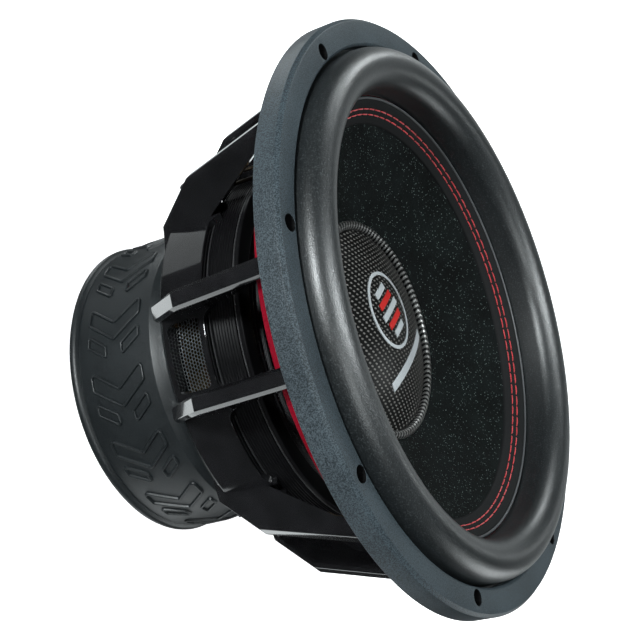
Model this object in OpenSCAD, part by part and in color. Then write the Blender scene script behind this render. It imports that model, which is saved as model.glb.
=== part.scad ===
// Car subwoofer driver of the 15 inch class, standing on its magnet with the cone facing +Z.
// Millimetres. Origin at the centre of the magnet boot's rear face.
// Mounting holes start on +X; the twin arms of the frame are centred on +X as well.
// The two terminals sit between the twin arms on +X and -X, the vent windows between the others.

/* [Mounting] */
// Outside diameter of the soft trim ring
outer_d = 396; // [300:1:420]
// From the boot's rear face to the trim ring's front face
front_z = 230.5; // [200:0.5:260]
// Diameter of the bolt circle
bolt_circle_d = 373; // [280:1:400]
// Number of mounting holes
bolt_count = 8; // [4:1:12]
// Hole through the metal flange
flange_hole_d = 6.5; // [4:0.1:9]
// Wider hole through the trim ring, for the bolt's head
trim_hole_d = 10.4; // [8:0.1:14]

/* [Trim ring] */
// Height of the trim ring's outer wall
trim_h = 16.4; // [10:0.1:24]
// Clear diameter inside the trim ring
trim_inner_d = 359; // [340:1:364]

/* [Frame] */
// Number of twin-arm pairs
pair_count = 6; // [3:1:8]
// Distance of each arm's middle plane from the pair's centre line
arm_offset = 31.9; // [20:0.1:40]
// Width of one arm
arm_w = 12.4; // [8:0.1:18]
// Chamfer along an arm's outer edges
arm_chamfer = 2.3; // [0.5:0.1:3]
// Thickness of the bolted flange
flange_t = 6; // [3:0.5:10]
// Outer radius of the wall that carries the spiders
wall_r = 127.5; // [120:0.5:130]
// Width of each vent window in that wall
window_w = 44; // [20:1:48]

/* [Surround and cone] */
// Radius of the roll's crown
roll_r = 163.5; // [158:0.5:168]
// Radius of the roll's section
roll_section_r = 13.7; // [10:0.1:16]
// Thickness of the roll
roll_t = 2.2; // [1.5:0.1:4]
// Radius where the cone ends under the stitched band
cone_edge_r = 146; // [140:0.5:150]
// Height of the cone's face at that edge
cone_edge_z = 215.6; // [205:0.1:220]
// Rise of the cone for each millimetre of radius
cone_slope = 0.5125; // [0.3:0.0005:0.8]
// Wall thickness of the cone, measured along Z
cone_t = 3.2; // [1:0.1:5]
// Radius of the dust cap inside its bead
cap_r = 69.1; // [50:0.1:90]
// Height of the dust cap's dome
cap_h = 12.5; // [6:0.5:25]

/* [Motor] */
// Outer radius of the magnet boot
boot_r = 101.2; // [90:0.1:104]
// Radius of the boot's rear bead
bead_r = 103.8; // [92:0.1:110]
// Outer radius of magnets and plates
motor_r = 94.8; // [80:0.1:98]
// Thickness of the back plate
back_t = 12; // [8:0.5:16]
// Thickness of one magnet
magnet_t = 24; // [15:0.5:30]
// Thickness of the top plate
top_t = 10.5; // [6:0.5:14]
// Radius of the pole
pole_r = 48.4; // [30:0.1:60]
// Radius of the vent bore through the pole
vent_r = 15; // [5:0.5:25]

/* [Terminals] */
// Radius of a push button
button_r = 5; // [3:0.1:6]
// Distance of each button from the terminal's middle
button_offset = 12; // [8:0.1:12]
// Travel of a button
button_travel = 3; // [1:0.5:4]

/* [Hidden] */
$fn = 96;
e = 0.02;
trim_rear_z = front_z - trim_h;
flange_top_z = trim_rear_z + flange_t;
flange_r = 193.7;
flange_inner_r = 155.6;
land_inner_r = 181.5;
land_h = 0.5;
foot_t = 1.8;
foot_r = 182.5;
base_z = 3 + back_t + 2 * magnet_t + top_t;
landing_z = 128;
wall_inner_r = wall_r - 6;
spider_r = 123.5;
landing_inner_r = 100;
spider_t = 2.4;
spacer_h = 17.2;
front_spider_z = landing_z + spider_t + spacer_h;
clamp_z = front_spider_z + spider_t;
former_or = 49.9;
former_ir = 49.2;
roll_z = 231.8;
cap_rim_z = 177.8;
cap_bead_r = 3;
emblem_r = 27;
emblem_centre = [-7, 9.6];
terminal_angles = [180, 0];
terminal_z = 107;
vent_angles = [60, 120, 240, 300];
terminal_face = wall_r + 8;
wire_hole_r = wall_r + 5.3;
tab_r = wall_r + 3.6;

// Outer and inner edge of one arm as [distance along the pair's centre line, height].
arm_outer = [[86, 73.5], [125, 91], [150.2, 123.6], [168.5, 193.5], [175.9, trim_rear_z + 1.2]];
arm_inner = [[86, 80.6], [113, 97], [122, 128.3], [152.5, 180], [162.3, trim_rear_z + 1.2]];

function cone_z(r) = cone_edge_z - cone_slope * (cone_edge_r - r);
// The corner q of the bend p-q-s, moved inwards so that both edges shift by d.
function unit(v) = v / norm(v);
function left_of(v) = [-v[1], v[0]];
function inset(p, q, s, d) =
    let (n1 = left_of(unit(q - p)), n2 = left_of(unit(s - q)), m = unit(n1 + n2)) q + m * d / (m * n1);
// The same for point i of a path; its first point moves along Z and its last one along the radius.
function path_inset(pts, i, d) =
    let (n = len(pts))
    i == 0 ? pts[0] + [0, d / unit(pts[1] - pts[0])[0]] :
    i == n - 1 ? pts[n - 1] - [d / unit(pts[n - 1] - pts[n - 2])[1], 0] :
    inset(pts[i - 1], pts[i], pts[i + 1], d);

module ring(r_out, r_in, h) {
    difference() {
        cylinder(r = r_out, h = h);
        translate([0, 0, -1]) cylinder(r = r_in, h = h + 2);
    }
}

module around(count, start = 0) {
    for (k = [0 : count - 1]) rotate([0, 0, start + k * 360 / count]) children();
}

// Moves the children to the flange's bolt circle.
module on_bolts() {
    around(bolt_count) translate([bolt_circle_d / 2, 0, 0]) children();
}

// One arm: a deep plate whose outer edges are chamfered, built station by station.
module arm() {
    n = len(arm_outer);
    half = arm_w / 2;
    pts = [for (i = [0 : n - 1])
        let (o = arm_outer[i], c = path_inset(arm_outer, i, arm_chamfer), k = arm_inner[i])
        each [[k[0], -half, k[1]], [c[0], -half, c[1]], [o[0], arm_chamfer - half, o[1]],
            [o[0], half - arm_chamfer, o[1]], [c[0], half, c[1]], [k[0], half, k[1]]]];
    sides = [for (i = [0 : n - 2], j = [0 : 5])
        [6 * i + j, 6 * i + 6 + j, 6 * i + 6 + (j + 1) % 6, 6 * i + (j + 1) % 6]];
    polyhedron(points = pts, faces = concat(sides, [[0, 1, 2, 3, 4, 5]],
        [[for (j = [5 : -1 : 0]) 6 * (n - 1) + j]]));
}

module trim_ring() {
    color([0.30, 0.33, 0.36]) difference() {
        rotate_extrude() polygon([[flange_r + 0.3, trim_rear_z], [outer_d / 2, trim_rear_z],
            [outer_d / 2, front_z - 2.6], [outer_d / 2 - 2.2, front_z], [trim_inner_d / 2 + 1.5, front_z],
            [trim_inner_d / 2, front_z - 1.5], [trim_inner_d / 2, flange_top_z + foot_t],
            [foot_r + 0.3, flange_top_z + foot_t], [foot_r + 0.3, flange_top_z],
            [flange_r + 0.3, flange_top_z]]);
        on_bolts() translate([0, 0, flange_top_z - 1]) cylinder(d = trim_hole_d, h = trim_h);
    }
}

module basket() {
    color([0.06, 0.06, 0.07]) difference() {
        union() {
            rotate_extrude() polygon([[flange_inner_r, trim_rear_z + land_h],
                [land_inner_r, trim_rear_z + land_h], [land_inner_r, trim_rear_z], [flange_r, trim_rear_z],
                [flange_r, flange_top_z], [flange_inner_r, flange_top_z]]);
            rotate_extrude() polygon([[58, base_z], [86, base_z], [wall_r - 4, base_z + 19.2],
                [wall_r, base_z + 23.2], [wall_r, landing_z], [landing_inner_r, landing_z],
                [landing_inner_r, landing_z - 4], [wall_inner_r, landing_z - 4],
                [wall_inner_r, base_z + 25], [84, base_z + 7], [58, base_z + 7]]);
            around(pair_count) for (s = [-1, 1]) translate([0, s * arm_offset, 0]) arm();
        }
        for (a = vent_angles) rotate([0, 0, a])
            translate([wall_r - 12, -window_w / 2, base_z + 26.5]) cube([16, window_w, 24]);
        on_bolts() translate([0, 0, trim_rear_z - 1]) cylinder(d = flange_hole_d, h = flange_t + 2);
    }
}

module seat_ring() {
    color([0.55, 0.02, 0.06]) translate([0, 0, 186]) ring(flange_inner_r - 0.1, 152.5, 33);
}

module vent_mesh() {
    color([0.20, 0.20, 0.21]) for (a = vent_angles) rotate([0, 0, a]) difference() {
        intersection() {
            translate([0, 0, base_z + 25.5]) ring(wall_inner_r, wall_inner_r - 1, 25);
            translate([wall_r - 14, -23.5, base_z + 25.5]) cube([14, 47, 25]);
        }
        for (i = [-3 : 3], j = [0 : 1])
            translate([wall_r - 14, i * 6 - 2, base_z + 27.6 + j * 11]) cube([14, 4, 9]);
    }
}

module spider_spacer() {
    color([0.04, 0.04, 0.05]) translate([0, 0, landing_z + spider_t])
        ring(wall_r - 3.5, wall_r - 10.5, spacer_h);
}

module spider_clamp() {
    color([0.04, 0.04, 0.05]) translate([0, 0, clamp_z]) ring(wall_r - 3.5, wall_r - 15.5, 3);
}

module motor_bolts() {
    color([0.10, 0.10, 0.11]) around(pair_count, 30) translate([72, 0, base_z + 7]) difference() {
        cylinder(r = 5, h = 6);
        translate([0, 0, 2.6]) cylinder(r = 2.9, h = 4, $fn = 6);
    }
}

module top_plate() {
    color([0.16, 0.16, 0.17]) translate([0, 0, base_z - top_t]) ring(motor_r, 53.6, top_t);
}

module magnet_front() {
    color([0.13, 0.13, 0.14]) translate([0, 0, 3 + back_t + magnet_t]) ring(motor_r, 62, magnet_t);
}

module magnet_rear() {
    color([0.13, 0.13, 0.14]) translate([0, 0, 3 + back_t]) ring(motor_r, 62, magnet_t);
}

// Back plate and pole turned from one piece, with the vent bore through both.
module pole_yoke() {
    color([0.16, 0.16, 0.17]) rotate_extrude() polygon([[vent_r, 3], [motor_r, 3], [motor_r, 3 + back_t],
        [pole_r, 3 + back_t], [pole_r, base_z + 5], [pole_r - 1.5, base_z + 6.5],
        [vent_r + 4, base_z + 6.5], [vent_r, base_z + 2.5]]);
}

module shorting_ring() {
    color([0.62, 0.36, 0.22]) translate([0, 0, 3 + back_t]) ring(60, pole_r + 0.2, 5);
}

module magnet_boot() {
    color([0.09, 0.10, 0.11]) rotate_extrude() union() {
        polygon([[18, 0], [bead_r - 3.5, 0], [bead_r - 3.5, 7], [boot_r - 0.4, 7.5], [boot_r, 9],
            [boot_r, 66.8], [96, 74], [motor_r + 0.4, 74], [motor_r + 0.4, 3], [18, 3]]);
        translate([bead_r - 3.5, 3.5]) circle(r = 3.5);
    }
}

module vent_screen() {
    color([0.20, 0.20, 0.21]) translate([0, 0, 4]) difference() {
        cylinder(r = vent_r, h = 1.2);
        for (ring_no = [1 : 2]) around(6 * ring_no) translate([ring_no * 5.4, 0, -1])
            cylinder(r = 1.9, h = 4);
        translate([0, 0, -1]) cylinder(r = 1.9, h = 4);
    }
}

module surround_roll() {
    color([0.10, 0.10, 0.11]) rotate_extrude() {
        difference() {
            translate([roll_r, roll_z]) circle(r = roll_section_r);
            translate([roll_r, roll_z]) circle(r = roll_section_r - roll_t);
            translate([roll_r - 20, roll_z - 40]) square([40, 40]);
        }
        translate([roll_r + roll_section_r - roll_t, flange_top_z]) square([roll_t, roll_z - flange_top_z]);
        translate([roll_r + roll_section_r - roll_t, flange_top_z])
            square([foot_r - roll_r - roll_section_r + roll_t, foot_t]);
        translate([roll_r - roll_section_r, 216.8]) square([roll_t, roll_z - 216.8]);
    }
}

module surround_band() {
    color([0.08, 0.08, 0.09]) rotate_extrude() polygon([[132.8, cone_z(132.8)], [cone_edge_r, cone_edge_z],
        [149.4, cone_edge_z + 1.2], [149.4, 218.6], [147.6, 219.3], [146.4, 218.9], [133.8, 210.8],
        [132.9, 210.2]]);
}

module stitching() {
    color([0.62, 0.05, 0.06]) for (r = [138.1, 141.2])
        rotate_extrude() translate([r, 210.8 + (r - 133.8) * 0.643 + 0.75]) circle(r = 0.6);
}

module cone() {
    color([0.07, 0.07, 0.08]) rotate_extrude() polygon([[former_or, cone_z(former_or)],
        [cone_edge_r, cone_edge_z], [cone_edge_r, cone_edge_z - cone_t], [56, cone_z(56) - cone_t],
        [55, cone_z(56) - 7], [former_or, cone_z(56) - 7]]);
}

module cap_bead() {
    color([0.05, 0.05, 0.06]) rotate_extrude() difference() {
        translate([cap_r + cap_bead_r, cap_rim_z + 0.9]) circle(r = cap_bead_r);
        polygon([[60, cone_z(60)], [90, cone_z(90)], [90, 150], [60, 150]]);
        translate([cap_r - 10, 170]) square([10 + e, 30]);
    }
}

module dust_cap() {
    dome_r = (cap_r * cap_r + cap_h * cap_h) / (2 * cap_h);
    color([0.06, 0.06, 0.07]) rotate_extrude() difference() {
        intersection() {
            translate([0, cap_rim_z + cap_h - dome_r]) circle(r = dome_r);
            translate([0, cone_z(cap_r) + 0.6]) square([cap_r, 40]);
        }
        translate([0, cap_rim_z + cap_h - dome_r]) circle(r = dome_r - 1.8);
    }
}

// Plain round frame with level bars, and one long bar below it, proud of the dome.
module cap_emblem() {
    dome_r = (cap_r * cap_r + cap_h * cap_h) / (2 * cap_h);
    color([0.55, 0.56, 0.58]) intersection() {
        translate([0, 0, cap_rim_z + cap_h - dome_r]) difference() {
            sphere(r = dome_r + 0.7);
            sphere(r = dome_r);
        }
        translate([0, 0, cap_rim_z]) linear_extrude(height = 20) {
            translate(emblem_centre) difference() {
                circle(r = emblem_r);
                circle(r = emblem_r - 2.4);
            }
            for (i = [-2 : 2]) translate(emblem_centre + [i * 7.4 - 2.3, 3 * abs(i) - 15])
                square([4.6, 30 - 6 * abs(i)]);
            translate([28.6, -28]) square([6.4, 76]);
        }
    }
}

module former() {
    color([0.60, 0.50, 0.30]) translate([0, 0, 46]) ring(former_or, former_ir, 125);
}

module voice_coil() {
    color([0.70, 0.36, 0.18]) translate([0, 0, 48.3]) ring(former_or + 2.3, former_or, 40);
}

// Flat rim and neck joined by shallow waves.
module spider(color_rgb, z) {
    waves = 4;
    pitch = 48 / waves;
    top = [for (i = [0 : 2 * waves]) [56 + i * pitch / 2, z + spider_t + (i % 2 == 1 ? 3 : 0)]];
    bottom = [for (i = [2 * waves : -1 : 0]) [56 + i * pitch / 2, z + (i % 2 == 1 ? 3 : 0)]];
    color(color_rgb) rotate_extrude() polygon(concat([[former_or, z + spider_t]], top,
        [[spider_r, z + spider_t], [spider_r, z]], bottom, [[former_or, z]]));
}

module spider_rear() { spider([0.30, 0.26, 0.20], landing_z); }

module spider_front() { spider([0.12, 0.12, 0.13], front_spider_z); }

// Moves the children so that +X points out between the twin arms at the given angle.
module at_terminal(angle) { rotate([0, 0, angle]) translate([0, 0, terminal_z]) children(); }

module terminal_block() {
    difference() {
        translate([wall_r - 8, -18.5, -7]) cube([terminal_face - wall_r + 8, 37, 15.5]);
        translate([0, 0, -12]) cylinder(r = wall_r, h = 24);
        for (s = [-1, 1]) {
            translate([wall_r - 4, s * button_offset, 0]) rotate([0, 90, 0])
                cylinder(r = button_r + 0.4, h = 20);
            translate([wire_hole_r, s * button_offset, -12]) cylinder(r = 2, h = 24);
        }
    }
}

module terminal_a() { color([0.07, 0.07, 0.07]) at_terminal(terminal_angles[0]) terminal_block(); }

module terminal_b() { color([0.07, 0.07, 0.07]) at_terminal(terminal_angles[1]) terminal_block(); }

module terminal_screws() {
    color([0.65, 0.66, 0.68]) for (a = terminal_angles) at_terminal(a) for (s = [-1, 1])
        translate([terminal_face, 0, s * 4 + 0.7]) rotate([0, 90, 0]) difference() {
            cylinder(r = 2.2, h = 1.6);
            translate([-3, -0.4, 0.9]) cube([6, 0.8, 2]);
        }
}

// Flat solder tabs standing on each terminal block.
module terminal_tabs() {
    color([0.72, 0.70, 0.62]) for (a = terminal_angles) at_terminal(a) for (s = [-1, 1])
        translate([tab_r, s * button_offset - 2.4, 8.5]) cube([0.8, 4.8, 9]);
}

// Braided leads from the tabs over the clamp ring to the front spider.
module lead_wires() {
    wire_r = 1.3;
    up_r = tab_r - wire_r - 0.1;
    top_z = clamp_z + 3 + wire_r + 0.3;
    color([0.62, 0.45, 0.25]) for (a = terminal_angles) rotate([0, 0, a]) for (s = [-1, 1])
        translate([0, s * button_offset, 0]) {
            translate([up_r, 0, terminal_z + 9.5]) cylinder(r = wire_r, h = top_z - terminal_z - 9.5);
            translate([up_r, 0, top_z]) sphere(r = wire_r);
            translate([113, 0, top_z]) rotate([0, 90, 0]) cylinder(r = wire_r, h = up_r - 113);
        }
}

// Sprung plunger whose cross hole lines up with the block's wire hole when pressed.
module button(angle, side) {
    at_terminal(angle) translate([0, side * button_offset, 0]) difference() {
        union() {
            translate([wall_r + button_travel + 0.5, 0, 0]) rotate([0, 90, 0]) cylinder(r = button_r, h = 9);
            translate([wall_r + button_travel + 9.5, 0, 0]) rotate([0, 90, 0])
                cylinder(r1 = button_r, r2 = button_r - 1, h = 1);
        }
        translate([wire_hole_r + button_travel, 0, -8]) cylinder(r = 1.8, h = 16);
    }
}

module button_a_red() { color([0.65, 0.05, 0.05]) button(terminal_angles[0], -1); }

module button_a_black() { color([0.04, 0.04, 0.04]) button(terminal_angles[0], 1); }

module button_b_red() { color([0.65, 0.05, 0.05]) button(terminal_angles[1], -1); }

module button_b_black() { color([0.04, 0.04, 0.04]) button(terminal_angles[1], 1); }

trim_ring();
basket();
seat_ring();
vent_mesh();
spider_spacer();
spider_clamp();
motor_bolts();
top_plate();
magnet_front();
magnet_rear();
pole_yoke();
shorting_ring();
magnet_boot();
vent_screen();
surround_roll();
surround_band();
stitching();
cone();
cap_bead();
dust_cap();
cap_emblem();
former();
voice_coil();
spider_rear();
spider_front();
terminal_a();
terminal_b();
terminal_screws();
terminal_tabs();
lead_wires();
button_a_red();
button_a_black();
button_b_red();
button_b_black();
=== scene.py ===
import math
import random

import bpy
import bmesh
from mathutils import Matrix, Vector
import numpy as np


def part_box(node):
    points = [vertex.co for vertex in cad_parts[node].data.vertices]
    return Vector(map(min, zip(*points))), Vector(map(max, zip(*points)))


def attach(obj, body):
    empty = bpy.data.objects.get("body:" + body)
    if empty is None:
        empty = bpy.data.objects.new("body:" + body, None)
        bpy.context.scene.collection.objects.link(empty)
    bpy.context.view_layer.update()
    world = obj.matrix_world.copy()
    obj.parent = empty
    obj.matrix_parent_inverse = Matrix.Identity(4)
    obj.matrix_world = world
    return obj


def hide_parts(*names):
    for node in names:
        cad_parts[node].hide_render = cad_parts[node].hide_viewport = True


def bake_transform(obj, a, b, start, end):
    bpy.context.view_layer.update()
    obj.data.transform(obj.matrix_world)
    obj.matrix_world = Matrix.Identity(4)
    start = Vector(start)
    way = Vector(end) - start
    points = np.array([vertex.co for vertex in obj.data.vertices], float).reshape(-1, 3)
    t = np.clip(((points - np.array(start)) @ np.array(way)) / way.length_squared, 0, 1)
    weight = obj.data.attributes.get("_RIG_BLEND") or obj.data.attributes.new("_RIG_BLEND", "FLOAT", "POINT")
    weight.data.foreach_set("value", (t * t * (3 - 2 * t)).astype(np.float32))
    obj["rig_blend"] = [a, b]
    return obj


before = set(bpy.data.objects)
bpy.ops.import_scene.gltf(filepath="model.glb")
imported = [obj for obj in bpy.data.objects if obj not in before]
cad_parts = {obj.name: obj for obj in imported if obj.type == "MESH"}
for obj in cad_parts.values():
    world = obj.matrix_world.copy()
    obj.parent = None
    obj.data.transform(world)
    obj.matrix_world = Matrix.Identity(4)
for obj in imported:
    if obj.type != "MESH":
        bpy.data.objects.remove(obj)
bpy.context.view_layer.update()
random.seed(15)
MM = 0.001          # shapes are written in millimetres, Blender works in metres

# ---------------------------------------------------------------- mesh helpers


def piece(name, data, material, body, node=None, smooth=35.0):
    """A mesh object from (points in millimetres, faces), riding on a body and standing for a CAD node."""
    verts, faces = data
    mesh = bpy.data.meshes.new(name)
    mesh.from_pydata([(x * MM, y * MM, z * MM) for x, y, z in verts], [], faces)
    mesh.validate()
    obj = bpy.data.objects.new(name, mesh)
    bpy.context.scene.collection.objects.link(obj)
    finish_mesh(obj, material, smooth)
    if body:
        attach(obj, body)
    if node:
        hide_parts(node)
    return obj


def finish_mesh(obj, material, smooth):
    """Welds and cleans a mesh, gives it its material and keeps edges over smooth degrees sharp."""
    mesh = obj.data
    bm = bmesh.new()
    bm.from_mesh(mesh)
    bmesh.ops.remove_doubles(bm, verts=bm.verts, dist=1e-6)
    bmesh.ops.dissolve_degenerate(bm, edges=bm.edges, dist=1e-7)
    bmesh.ops.recalc_face_normals(bm, faces=bm.faces)
    bm.to_mesh(mesh)
    bm.free()
    mesh.materials.clear()
    mesh.materials.append(material)
    mesh.shade_smooth()
    mesh.set_sharp_from_angle(angle=math.radians(smooth))


def rounded(points, radius=0.0, steps=5):
    """A closed profile with each corner rounded; a point is (r, z) or (r, z, radius)."""
    out = []
    n = len(points)
    for i, p in enumerate(points):
        rad = p[2] if len(p) > 2 else radius
        p0 = Vector(points[i - 1][:2])
        p1 = Vector(p[:2])
        p2 = Vector(points[(i + 1) % n][:2])
        a = p0 - p1
        b = p2 - p1
        la, lb = a.length, b.length
        if rad <= 0 or la < 1e-6 or lb < 1e-6:
            out.append(tuple(p1))
            continue
        a /= la
        b /= lb
        angle = math.acos(max(-1.0, min(1.0, a.dot(b))))
        if angle > math.pi - 0.02:
            out.append(tuple(p1))
            continue
        cut = min(rad / math.tan(angle / 2), 0.49 * la, 0.49 * lb)
        rad = cut * math.tan(angle / 2)
        centre = p1 + (a + b).normalized() * (rad / math.sin(angle / 2))
        start = (p1 + a * cut) - centre
        end = (p1 + b * cut) - centre
        sweep = start.angle_signed(end)
        k = max(2, int(math.ceil(steps * abs(sweep) / (math.pi / 2))))
        for j in range(k + 1):
            rot = Matrix.Rotation(-sweep * j / k, 2)
            q = centre + rot @ start
            out.append((q.x, q.y))
    return out


def lathe_data(profile, segs, closed=True, wobble=None):
    """Points and faces of a profile of (r, z) turned about Z; wobble(r, z, turn, index) may move a point."""
    verts, faces = [], []
    m = len(profile)
    for k in range(segs):
        t = 2 * math.pi * k / segs
        c, s = math.cos(t), math.sin(t)
        for j, (r, z) in enumerate(profile):
            if wobble:
                r, z = wobble(r, z, t, j)
            verts.append((r * c, r * s, z))
    last = m if closed else m - 1
    for k in range(segs):
        k2 = (k + 1) % segs
        for j in range(last):
            j2 = (j + 1) % m
            faces.append((k * m + j, k2 * m + j, k2 * m + j2, k * m + j2))
    return verts, faces


def lathe(name, profile, material, body, node=None, segs=256, closed=True, wobble=None, smooth=35.0):
    """A turned piece."""
    return piece(name, lathe_data(profile, segs, closed, wobble), material, body, node, smooth)


def tube(path, radii, normals, sides=8, flat=0.8):
    """Points and faces of an open tube along a path of Vectors; flat squeezes it along the normals."""
    verts, faces = [], []
    n = len(path)
    for i, p in enumerate(path):
        d = (path[min(i + 1, n - 1)] - path[max(i - 1, 0)]).normalized()
        side = d.cross(normals[i]).normalized()
        up = side.cross(d).normalized()
        for j in range(sides):
            t = 2 * math.pi * j / sides
            verts.append(tuple(p + side * (radii[i] * math.cos(t)) + up * (radii[i] * flat * math.sin(t))))
    for i in range(n - 1):
        for j in range(sides):
            j2 = (j + 1) % sides
            faces.append((i * sides + j, i * sides + j2, (i + 1) * sides + j2, (i + 1) * sides + j))
    faces.append(tuple(range(sides)))
    faces.append(tuple((n - 1) * sides + j for j in reversed(range(sides))))
    return verts, faces


def join_data(parts):
    """Several (points, faces) pairs as one."""
    verts, faces = [], []
    for v, f in parts:
        base = len(verts)
        verts += list(v)
        faces += [tuple(i + base for i in face) for face in f]
    return verts, faces


def turned(data, angle, shift=(0, 0, 0)):
    """The same points turned about Z by an angle in degrees, after a shift."""
    a = math.radians(angle)
    c, s = math.cos(a), math.sin(a)
    v = []
    for x, y, z in data[0]:
        x, y, z = x + shift[0], y + shift[1], z + shift[2]
        v.append((x * c - y * s, x * s + y * c, z))
    return v, data[1]


def boolean(obj, cutter, operation="DIFFERENCE"):
    """Cuts or joins obj with a helper object, which is then removed."""
    mod = obj.modifiers.new("cut", "BOOLEAN")
    mod.operation = operation
    mod.solver = "EXACT"
    mod.object = cutter
    apply_modifiers(obj)
    bpy.data.objects.remove(cutter, do_unlink=True)


def apply_modifiers(obj):
    """Turns an object's modifiers into its mesh."""
    graph = bpy.context.evaluated_depsgraph_get()
    graph.update()
    new = bpy.data.meshes.new_from_object(obj.evaluated_get(graph))
    old = obj.data
    obj.modifiers.clear()
    obj.data = new
    new.name = old.name
    bpy.data.meshes.remove(old)


def raw(name, data):
    """A loose helper object in millimetres turned to metres, used only to cut or join."""
    mesh = bpy.data.meshes.new(name)
    mesh.from_pydata([(x * MM, y * MM, z * MM) for x, y, z in data[0]], [], data[1])
    bm = bmesh.new()
    bm.from_mesh(mesh)
    bmesh.ops.remove_doubles(bm, verts=bm.verts, dist=1e-6)
    bmesh.ops.recalc_face_normals(bm, faces=bm.faces)
    bm.to_mesh(mesh)
    bm.free()
    obj = bpy.data.objects.new(name, mesh)
    bpy.context.scene.collection.objects.link(obj)
    return obj


def prism(verts):
    """Two outlines of the same length, one after the other, joined by sides and capped."""
    n = len(verts) // 2
    faces = [(k, (k + 1) % n, n + (k + 1) % n, n + k) for k in range(n)]
    faces += [tuple(reversed(range(n))), tuple(range(n, 2 * n))]
    return verts, faces


def cylinder_data(r, z0, z1, sides):
    """An upright cylinder about Z."""
    turn = [2 * math.pi * k / sides for k in range(sides)]
    return prism([(r * math.cos(t), r * math.sin(t), z) for z in (z0, z1) for t in turn])


def prism_x(outline, x0, x1):
    """An outline of (y, z) points drawn out along X."""
    return prism([(x, y, z) for x in (x0, x1) for y, z in outline])


# ---------------------------------------------------------------- materials


class Nodes:
    """A small wrapper that adds shader nodes and links them."""

    def __init__(self, name):
        self.m = bpy.data.materials.new(name)
        self.m.use_nodes = True
        self.t = self.m.node_tree
        self.b = self.t.nodes["Principled BSDF"]
        self.coord = self.t.nodes.new("ShaderNodeTexCoord").outputs["Object"]

    def add(self, kind, values=None, **attrs):
        n = self.t.nodes.new("ShaderNode" + kind)
        for k, v in attrs.items():
            setattr(n, k, v)
        for k, v in (values or {}).items():
            if isinstance(v, bpy.types.NodeSocket):
                self.t.links.new(v, n.inputs[k])
            else:
                n.inputs[k].default_value = v
        return n

    def math(self, op, a, b=0.0, c=None):
        v = {0: a, 1: b}
        if c is not None:
            v[2] = c
        return self.add("Math", v, operation=op).outputs[0]

    def noise(self, scale, detail=3.0, rough=0.55, distortion=0.0):
        return self.add("TexNoise", {"Vector": self.coord, "Scale": scale, "Detail": detail,
                                     "Roughness": rough, "Distortion": distortion}).outputs["Fac"]

    def ramp(self, fac, stops):
        n = self.add("ValToRGB", {"Fac": fac})
        el = n.color_ramp.elements
        while len(el) < len(stops):
            el.new(0.5)
        for e, (pos, col) in zip(el, stops):
            e.position = pos
            e.color = (col, col, col, 1) if isinstance(col, (int, float)) else (*col, 1)
        return n.outputs["Color"]

    def mix(self, fac, a, b):
        n = self.add("Mix", {"Factor": fac}, data_type="RGBA")
        for sock, v in ((n.inputs[6], a), (n.inputs[7], b)):      # 6 and 7 are the colour A and B sockets
            if isinstance(v, bpy.types.NodeSocket):
                self.t.links.new(v, sock)
            else:
                sock.default_value = (*v, 1)
        return n.outputs[2]

    def bump(self, height, strength, distance):
        v = {"Height": height, "Strength": strength, "Distance": distance}
        return self.add("Bump", v).outputs["Normal"]

    def set(self, **values):
        """Puts values or links on the shader's own sockets and gives the material."""
        names = {"color": "Base Color", "rough": "Roughness", "metal": "Metallic", "normal": "Normal",
                 "coat": "Coat Weight", "sheen": "Sheen Weight", "sheen_rough": "Sheen Roughness",
                 "spec": "Specular IOR Level"}
        for k, v in values.items():
            s = self.b.inputs[names[k]]
            if isinstance(v, bpy.types.NodeSocket):
                self.t.links.new(v, s)
            else:
                s.default_value = v
        return self.m


PATCHES = 25.0      # soft patches to a metre on every moulded surface


def grained(name, dark, light, rough, grain, bump_mm, metal=0.0, coat=0.0, speckle=0.0, spec=0.5,
            share=0.45, span=0.17, detail=4.0):
    """Moulded rubber, plastic or lacquer: fine grain, soft patches and an optional bright speckle.

    share is how much of the colour follows the grain; span is half the width of the ramp from dark to light.
    """
    n = Nodes(name)
    fine = n.noise(grain, detail, 0.6)
    soft = n.noise(PATCHES, 3.0, 0.5)
    blend = n.math("MULTIPLY_ADD", soft, 1 - share, n.math("MULTIPLY", fine, share))
    col = n.ramp(blend, [(0.5 - span, dark), (0.5 + span, light)])
    if speckle:
        spark = n.ramp(n.noise(grain * 0.8, 1.0, 0.5), [(0.56, 0.0), (0.72, 1.0)])
        col = n.mix(n.math("MULTIPLY", spark, speckle), col, tuple(min(1.0, c * 3.2 + 0.02) for c in light))
    r = n.add("MapRange", {"Value": blend, "From Min": 0.3, "From Max": 0.7, "To Min": rough * 0.88,
                           "To Max": rough * 1.18}).outputs[0]
    return n.set(color=col, rough=r, metal=metal, coat=coat, spec=spec,
                 normal=n.bump(fine, 0.6, bump_mm * MM))


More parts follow.
